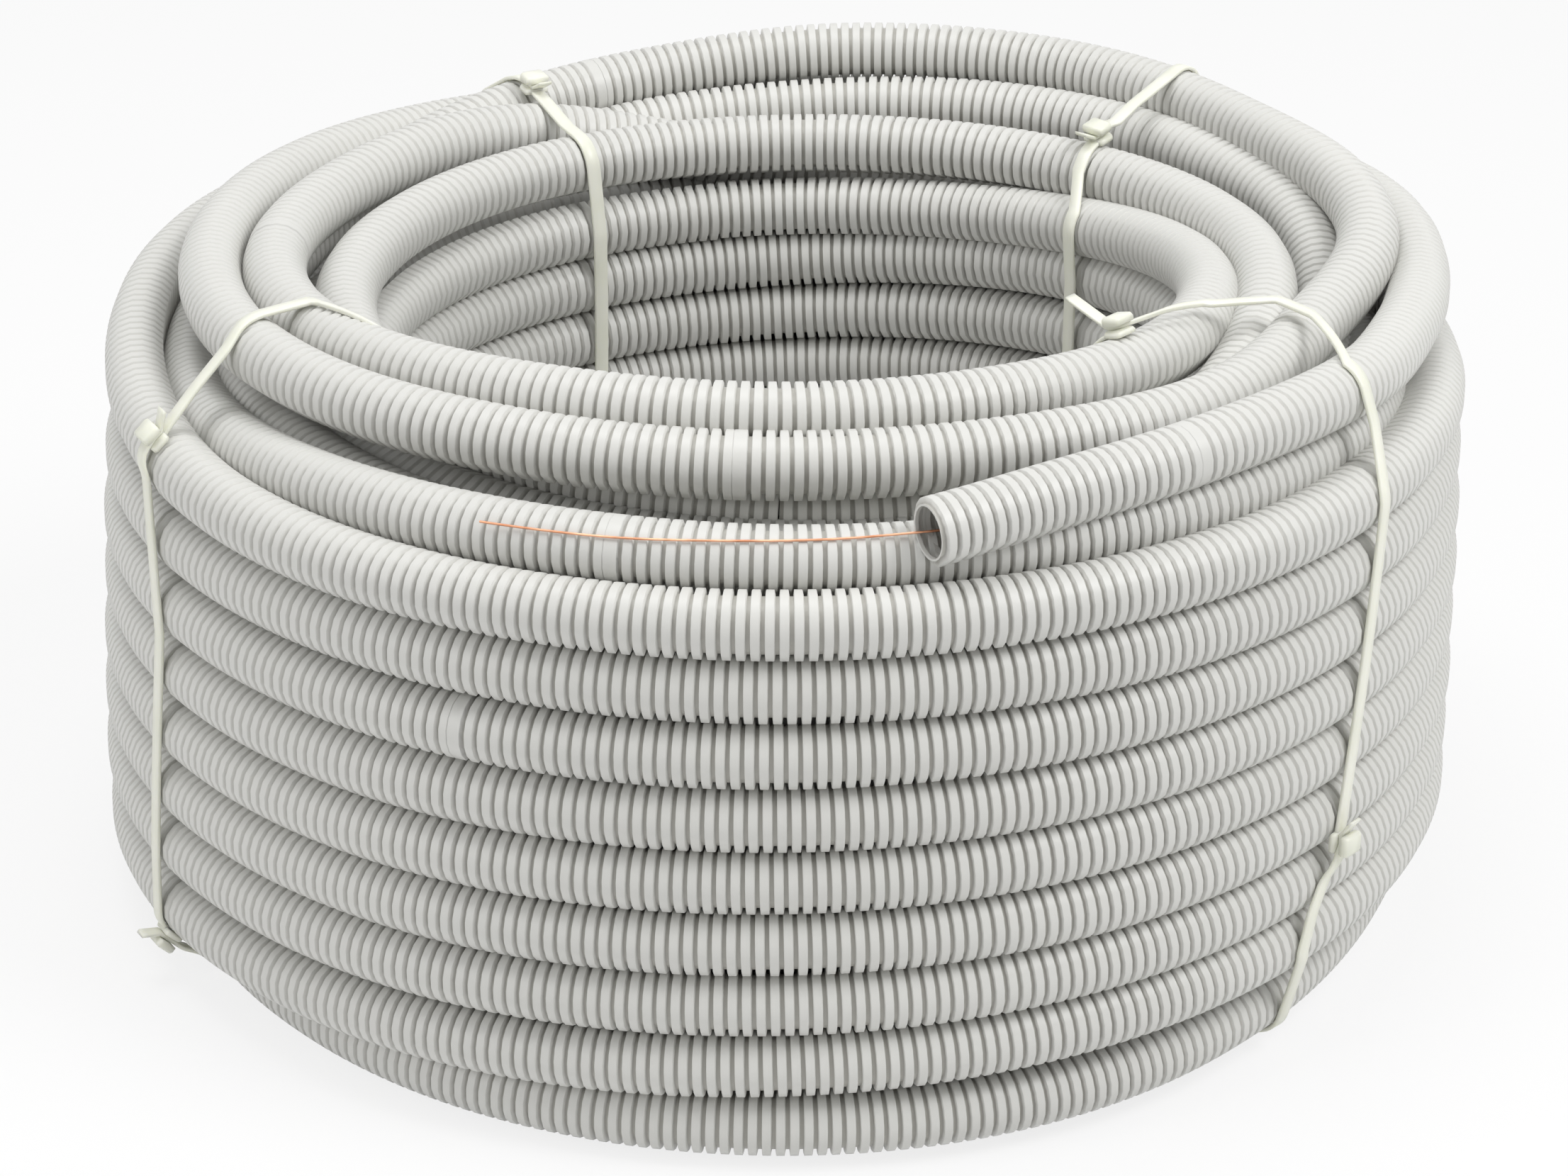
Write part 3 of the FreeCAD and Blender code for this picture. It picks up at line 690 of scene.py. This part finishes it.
def loop_belt(runs, spots):
    """The belt of a loop, round the turns as they are at the azimuths that the loop passes."""
    middle = sum(azimuth for azimuth, _, _ in spots) / len(spots)
    # Each time that a run passes: the run, the azimuth on it, and how far the belt leans there.
    passes = []
    for run in runs:
        first, last = math.ceil((run.first - middle) / 360), math.floor((run.last - middle) / 360)
        passes += [[run, middle + 360 * k, 0.0] for k in range(first, last + 1)]
    for _ in range(3):
        centres = []
        for run, base, turned in passes:
            place = np.clip(base + turned, run.first, run.last)
            centres.append((float(run.radius(place)), float(run.height(place))))
        belt = Belt(centres, spots)
        for one, centre in zip(passes, centres):
            one[2] = belt.azimuth_at(belt.nearest(*centre)) - middle
    return belt


def build_ties(runs, nylon):
    for loop, (spots, ties) in LOOPS.items():
        belt = loop_belt(runs, spots)
        places = [belt.nearest(radius * TUBE, height * TUBE) for _, radius, height, _ in ties]
        for i, (name, _, _, _) in enumerate(ties):
            stub = LONG_STUB_LENGTH if ties[1 - i][3] else STUB_LENGTH
            make_tie("tie_%s_%s" % (loop, name), belt, places[i], places[1 - i], stub, nylon)


WIRE_ROUTE = (
    (0.0600, -0.1870, 0.1934), (0.0372, -0.1895, 0.1915), (0.0126, -0.1933, 0.1905),
    (-0.0190, -0.1941, 0.1900), (-0.0538, -0.1888, 0.1883), (-0.0830, -0.1779, 0.1876),
)


def build_wire(copper):
    curve = bpy.data.curves.new("draw_wire_copper", "CURVE")
    curve.dimensions = "3D"
    curve.bevel_depth = WIRE_DIAMETER / 2
    curve.bevel_resolution = 3
    curve.resolution_u = 16
    curve.use_fill_caps = True
    spline = curve.splines.new("NURBS")
    spline.points.add(len(WIRE_ROUTE) - 1)
    for point, place in zip(spline.points, WIRE_ROUTE):
        point.co = (*place, 1)
    spline.order_u = 3
    spline.use_endpoint_u = True
    made = bpy.data.objects.new("draw_wire_copper", curve)
    bpy.context.scene.collection.objects.link(made)
    finish_piece(made, copper, "draw_wire", "draw_wire")


def build_camera():
    """The photograph's camera."""
    elevation, roll = math.radians(24.55), math.radians(0.988)
    forward = np.array([0, math.cos(elevation), -math.sin(elevation)])
    level_up = np.array([0, math.sin(elevation), math.cos(elevation)])
    level_right = np.array([1.0, 0, 0])
    right = math.cos(roll) * level_right + math.sin(roll) * level_up
    up = -math.sin(roll) * level_right + math.cos(roll) * level_up
    data = bpy.data.cameras.new("camera")
    data.sensor_width = 36.0
    data.sensor_fit = "HORIZONTAL"
    data.lens = 102.45
    camera = bpy.data.objects.new("camera", data)
    place = (0.00166, -1.30986, 0.68600)
    turn = Matrix((right, up, -forward)).transposed().to_4x4()
    camera.matrix_world = Matrix.Translation(place) @ turn
    bpy.context.scene.collection.objects.link(camera)
    bpy.context.scene.camera = camera


def seen_directly(tree):
    """1 for camera, glossy and transmission rays, otherwise 0."""
    path = tree.nodes.new("ShaderNodeLightPath")
    total = tree.nodes.new("ShaderNodeMath")
    total.operation = "MAXIMUM"
    more = tree.nodes.new("ShaderNodeMath")
    more.operation = "MAXIMUM"
    tree.links.new(path.outputs["Is Camera Ray"], total.inputs[0])
    tree.links.new(path.outputs["Is Glossy Ray"], total.inputs[1])
    tree.links.new(total.outputs[0], more.inputs[0])
    tree.links.new(path.outputs["Is Transmission Ray"], more.inputs[1])
    return more.outputs[0]


def build_world():
    world = bpy.data.worlds.new("studio")
    bpy.context.scene.world = world
    world.use_nodes = True
    tree = world.node_tree
    soft = tree.nodes["Background"]
    soft.inputs["Color"].default_value = (1, 1, 1, 1)
    soft.inputs["Strength"].default_value = 0.45
    white = tree.nodes.new("ShaderNodeBackground")
    white.inputs["Color"].default_value = (1, 1, 1, 1)
    white.inputs["Strength"].default_value = 1.0
    mix = tree.nodes.new("ShaderNodeMixShader")
    tree.links.new(seen_directly(tree), mix.inputs[0])
    tree.links.new(soft.outputs[0], mix.inputs[1])
    tree.links.new(white.outputs[0], mix.inputs[2])
    tree.links.new(mix.outputs[0], tree.nodes["World Output"].inputs["Surface"])


def build_floor():
    size = 20.0
    corners = [(-size, -size, 0), (size, -size, 0), (size, size, 0), (-size, size, 0)]
    mesh = bpy.data.meshes.new("floor")
    mesh.from_pydata(corners, [], [(0, 1, 2, 3)])
    floor = bpy.data.objects.new("floor", mesh)
    bpy.context.scene.collection.objects.link(floor)
    material = bpy.data.materials.new("floor_white")
    material.use_nodes = True
    tree = material.node_tree
    tree.nodes.clear()
    diffuse = tree.nodes.new("ShaderNodeBsdfDiffuse")
    diffuse.inputs["Color"].default_value = (0.85, 0.85, 0.85, 1)
    glow = tree.nodes.new("ShaderNodeEmission")
    glow.inputs["Strength"].default_value = 1.0
    share = tree.nodes.new("ShaderNodeMath")
    share.operation = "MULTIPLY"
    share.inputs[1].default_value = 0.80
    mix = tree.nodes.new("ShaderNodeMixShader")
    out = tree.nodes.new("ShaderNodeOutputMaterial")
    tree.links.new(seen_directly(tree), share.inputs[0])
    tree.links.new(share.outputs[0], mix.inputs[0])
    tree.links.new(diffuse.outputs[0], mix.inputs[1])
    tree.links.new(glow.outputs[0], mix.inputs[2])
    tree.links.new(mix.outputs[0], out.inputs["Surface"])
    mesh.materials.append(material)


def area_light(name, place, target, size, power):
    """A round lamp turned towards a target."""
    data = bpy.data.lights.new(name, "AREA")
    data.shape = "DISK"
    data.size = size
    data.energy = power
    lamp = bpy.data.objects.new(name, data)
    bpy.context.scene.collection.objects.link(lamp)
    back = np.array(place, float) - np.array(target, float)
    back /= np.linalg.norm(back)
    right = np.cross([0, 0, 1.0], back) if abs(back[2]) < 0.99 else np.array([1.0, 0, 0])
    right /= np.linalg.norm(right)
    up = np.cross(back, right)
    lamp.matrix_world = Matrix.Translation(place) @ Matrix((right, up, back)).transposed().to_4x4()


def build_lights():
    centre = (0, 0, 0.1)
    area_light("key", (1.2, -0.6, 1.7), centre, 1.0, 20.5)
    area_light("top", (-0.3, 0.0, 2.0), centre, 1.2, 15)
    area_light("fill", (-1.5, -0.9, 0.9), centre, 1.2, 5.5)


bpy.context.scene.view_settings.view_transform = "Standard"
build_camera()
build_world()
build_floor()
build_lights()
runs = build_conduit(conduit_material())
build_ties(runs, tie_material())
build_wire(wire_material())
